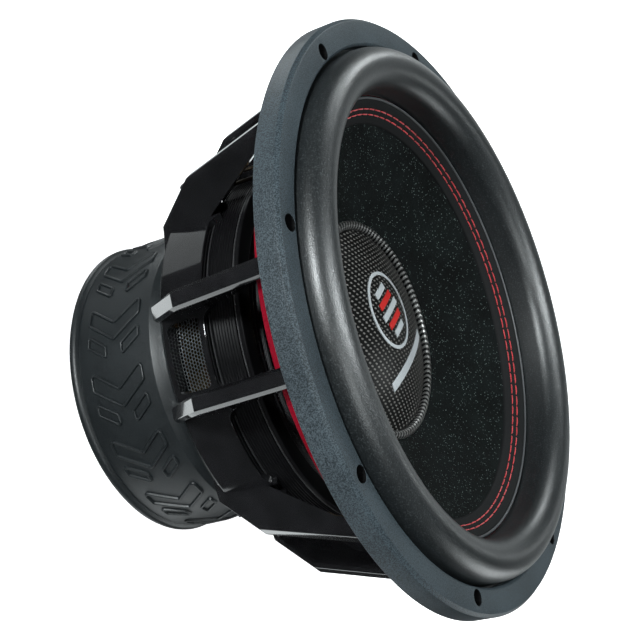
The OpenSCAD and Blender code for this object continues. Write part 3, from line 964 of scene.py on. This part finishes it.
def build_cap():
    """The domed cap and the round bead that covers its edge."""
    rs = [0.0, 6, 12, 18, 24, 30, 36, 42, 48, 54, 60, 64, 67, 69.0]
    top = [(r, dome_z(r)) for r in rs]
    low = [(r, dome_z(r) - 1.6) for r in reversed(rs)]
    lathe("Dust_Cap", top + low, M["weave"], "moving_assembly", "dust_cap", closed=False, smooth=40)
    bead = []
    for k in range(13):
        t = math.radians(-32 + (200 + 32) * k / 12)
        bead.append((CAP_R + 3 + 3 * math.cos(t), CAP_RIM + 0.9 + 3 * math.sin(t)))
    bead += [(CAP_R + 0.2, cone_z(CAP_R) + 0.1), (CAP_R + 5.6, cone_z(CAP_R + 5.6) + 0.05)]
    lathe("Cap_Bead", bead, M["hatch"], "moving_assembly", "cap_bead", smooth=50)


build_cap()

EMBLEM = (-7.0, 9.6)    # the middle of the mark, in the cap's x and y


def draped(rows, wrap=False, lift=0.55):
    """A thin raised plate that follows the dome, from rows of (x, y) points."""
    n, m = len(rows), len(rows[0])
    verts = [(x, y, dome_z(math.hypot(x, y)) + h) for h in (0.02, lift) for row in rows for x, y in row]
    faces = []
    for i in range(n if wrap else n - 1):
        i2 = (i + 1) % n
        for j in range(m - 1):
            a, b, c, d = i * m + j, i * m + j + 1, i2 * m + j + 1, i2 * m + j
            faces.append((n * m + a, n * m + b, n * m + c, n * m + d))
            faces.append((d, c, b, a))
        for j in (0, m - 1):
            a, b = i * m + j, i2 * m + j
            faces.append((a, b, n * m + b, n * m + a))
    if not wrap:
        for i in (0, n - 1):
            for j in range(m - 1):
                a, b = i * m + j, i * m + j + 1
                faces.append((a, b, n * m + b, n * m + a))
    return verts, faces


def bar_data(x0, x1, y0, y1):
    """A draped bar, cut fine enough along its length to follow the dome."""
    k = max(4, int((y1 - y0) / 3))
    rows = [[(x0 + (x1 - x0) * i / 4, y0 + (y1 - y0) * j / k) for i in range(5)] for j in range(k + 1)]
    return draped(rows)


def build_emblem():
    """A generic mark: a round frame, five upright bars, two of them red, and a plain long bar beside it."""
    cx, cy = EMBLEM
    turn = [2 * math.pi * k / 96 for k in range(96)]
    silver = [draped([[(cx + r * math.cos(t), cy + r * math.sin(t)) for r in (24.6, 25.4, 26.2, 27.0)]
                      for t in turn], wrap=True), bar_data(28.6, 35.0, -28.0, 48.0)]
    red = []
    for i in range(-2, 3):
        x, h = cx + i * 7.4, 15.0 - 3 * abs(i)
        (red if i % 2 else silver).append(bar_data(x - 2.3, x + 2.3, cy - h, cy + h))
    piece("Cap_Emblem", join_data(silver), M["emblem"], "moving_assembly", "cap_emblem", 30)
    piece("Cap_Emblem_Red", join_data(red), M["emblem_red"], "moving_assembly", smooth=30)


build_emblem()

# ---------------------------------------------------------------- coil and motor parts

lathe("Voice_Coil", ribbed_ring(49.9, 52.2, 48.3, 88.3, 1.0, 0.28), M["coil"], "moving_assembly",
      "voice_coil", segs=160, smooth=60)

# CAD nodes whose shape is right: they get a material, and the machined or moulded ones a small bevel
KEEP = {"top_plate": "plate", "magnet_front": "ferrite", "magnet_rear": "ferrite", "pole_yoke": "plate",
        "shorting_ring": "copper", "vent_screen": "mesh", "motor_bolts": "bolt", "former": "former",
        "terminal_a": "term", "terminal_b": "term", "terminal_screws": "steel", "terminal_tabs": "steel",
        "lead_wires": "lead", "button_a_red": "btn_red", "button_b_red": "btn_red",
        "button_a_black": "btn_black", "button_b_black": "btn_black"}
for name, mat in KEEP.items():
    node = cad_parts[name]
    for s in node.material_slots:
        s.material = M[mat]
    if name.startswith(("terminal_a", "terminal_b", "motor", "top", "pole", "button", "magnet")):
        bevel = node.modifiers.new("edge", "BEVEL")
        bevel.width = 0.35 * MM
        bevel.segments = 2
        bevel.limit_method = "ANGLE"
        bevel.angle_limit = math.radians(40)
        bevel.harden_normals = True

spread_blend(ROLL, "frame", "moving_assembly", 176.5, 150.5, 231.0)
spread_blend(SPIDERS[0], "frame", "moving_assembly", SPIDER_OUT, SPIDER_IN, 129.0)
spread_blend(SPIDERS[1], "frame", "moving_assembly", SPIDER_OUT, SPIDER_IN, 149.0)

# ---------------------------------------------------------------- floor, light, camera

FAR = 40    # metres from the part to the floor's edges
floor_mesh = bpy.data.meshes.new("Floor")
floor_mesh.from_pydata([(-FAR, -FAR, 0), (FAR, -FAR, 0), (FAR, FAR, 0), (-FAR, FAR, 0)], [], [(0, 1, 2, 3)])
floor = bpy.data.objects.new("Floor", floor_mesh)
bpy.context.scene.collection.objects.link(floor)
paint = Nodes("Pale floor")
tone = paint.ramp(paint.noise(3.0, 2.0), [(0.3, (0.90, 0.90, 0.90)), (0.7, (0.93, 0.93, 0.93))])
paint.set(color=tone, rough=0.9)
paint.t.links.new(tone, paint.b.inputs["Emission Color"])
paint.b.inputs["Emission Strength"].default_value = 0.98
floor_mesh.materials.append(paint.m)
floor.visible_glossy = False

# the camera at the photograph's viewing angle, which is rolled onto its side
POS = Vector((-0.345251, -0.797065, 0.602444))
RIGHT = Vector((0.42512, 0.31393, 0.84895)).normalized()
UP = Vector((-0.84059, 0.48476, 0.24167))
UP = (UP - RIGHT * UP.dot(RIGHT)).normalized()
BACK = RIGHT.cross(UP)
cam_data = bpy.data.cameras.new("Camera")
cam_data.lens = 81.33
cam_data.sensor_width = 36.0
cam_data.clip_start = 0.01
cam = bpy.data.objects.new("Camera", cam_data)
cam.matrix_world = Matrix.Translation(POS) @ Matrix((RIGHT, UP, BACK)).transposed().to_4x4()
bpy.context.scene.collection.objects.link(cam)
bpy.context.scene.camera = cam

CENTRE = Vector((0, 0, 0.17))   # the point that every panel faces
PANEL_DISTANCE = 1.5
TINT = (0.93, 0.99, 1.0)


def softbox(name, x, y, back, size, power):
    """A soft panel that faces the part; x, y and back give its side as seen in the photograph's view."""
    data = bpy.data.lights.new(name, "AREA")
    data.shape = "RECTANGLE"
    data.size, data.size_y = size
    data.energy = power
    data.color = TINT
    obj = bpy.data.objects.new(name, data)
    d = (RIGHT * x + UP * y + BACK * back).normalized()
    obj.location = CENTRE + d * PANEL_DISTANCE
    side = UP.cross(d).normalized()
    obj.rotation_euler = Matrix((side, d.cross(side), d)).transposed().to_euler()
    obj.visible_camera = False
    bpy.context.scene.collection.objects.link(obj)


softbox("Top", 0.53, 0.72, -0.44, (0.20, 0.26), 4.0)
softbox("Top_right", 0.43, 0.88, -0.18, (0.24, 0.24), 2.0)
softbox("Right_front", 0.76, 0.33, 0.56, (1.00, 0.09), 22)
softbox("Left_front", -0.34, 0.35, 0.87, (0.16, 0.22), 21)
softbox("Right_rear", 0.94, 0.03, -0.34, (0.34, 0.16), 1.2)
softbox("Below", 0.66, -0.66, -0.36, (0.7, 0.5), 4.5)
softbox("Left_low", -0.35, -0.83, -0.42, (1.0, 1.0), 4.4)
softbox("Front", 0.36, -0.14, 0.92, (0.7, 0.6), 7)
softbox("Back_top", -0.36, 0.82, -0.45, (0.5, 0.5), 5)
softbox("Left_fill", -0.74, 0.64, -0.20, (0.75, 0.75), 1.1)
softbox("Left_rear", -0.66, -0.16, -0.74, (0.60, 0.60), 1.8)

# the world is a soft glow behind the part, as the photograph's view sees it, and nearly dark elsewhere
world = bpy.data.worlds.new("Studio")
world.use_nodes = True
wt = world.node_tree
bg = wt.nodes["Background"]
where = wt.nodes.new("ShaderNodeTexCoord").outputs["Generated"]
facing = wt.nodes.new("ShaderNodeVectorMath")
facing.operation = "DOT_PRODUCT"
wt.links.new(where, facing.inputs[0])
facing.inputs[1].default_value = (RIGHT * 0.25 + UP * 0.10 - BACK * 0.95).normalized()
fade = wt.nodes.new("ShaderNodeMapRange")
fade.interpolation_type = "SMOOTHSTEP"
wt.links.new(facing.outputs["Value"], fade.inputs["Value"])
for socket, value in (("From Min", 0.76), ("From Max", 0.97), ("To Min", 0.03), ("To Max", 0.9)):
    fade.inputs[socket].default_value = value
wt.links.new(fade.outputs[0], bg.inputs["Strength"])
bg.inputs["Color"].default_value = (0.92, 0.99, 1.0, 1)
# beyond the floor's edge a low view sees one plain pale tone; the glow above only lights the part
beyond = wt.nodes.new("ShaderNodeBackground")
beyond.inputs["Color"].default_value = (0.93, 0.93, 0.93, 1)
pick = wt.nodes.new("ShaderNodeMixShader")
wt.links.new(wt.nodes.new("ShaderNodeLightPath").outputs["Is Camera Ray"], pick.inputs[0])
wt.links.new(bg.outputs[0], pick.inputs[1])
wt.links.new(beyond.outputs[0], pick.inputs[2])
wt.links.new(pick.outputs[0], wt.nodes["World Output"].inputs["Surface"])
bpy.context.scene.world = world
bpy.context.scene.view_settings.view_transform = "Standard"
